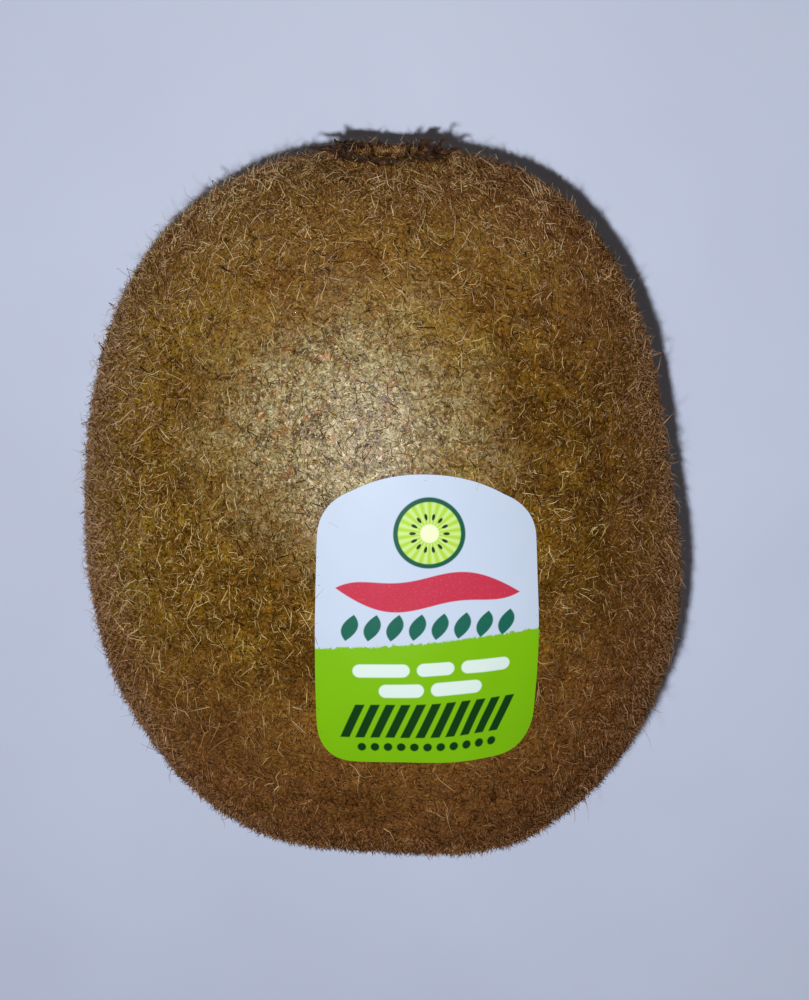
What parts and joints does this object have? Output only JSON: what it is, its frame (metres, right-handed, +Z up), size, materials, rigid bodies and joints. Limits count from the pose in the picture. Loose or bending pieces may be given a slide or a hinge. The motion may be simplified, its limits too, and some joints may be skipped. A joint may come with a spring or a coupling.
{
  "type": "kiwi fruit",
  "caption": "Whole uncut kiwi fruit with hairy brown skin, lying on its side, with dried styles at the flower end and a small paper label.",
  "frame": {"origin": "middle of the bottom of the bounding box, on the surface that the fruit lies on", "axes": "+Y along the fruit towards its flower end, +Z up, +X across its width"},
  "size_m": [0.056, 0.0688, 0.05],
  "materials": {
    "skin": "matt olive brown skin under golden brown hairs",
    "dried_styles": "dry and dark brown",
    "label_paper": "satin coated paper, white above and lime green below"
  },
  "bodies": {
    "root": {"fruit": "skin", "dried_styles": "dried_styles", "fruit_label": "label_paper"}
  },
  "joints": []
}
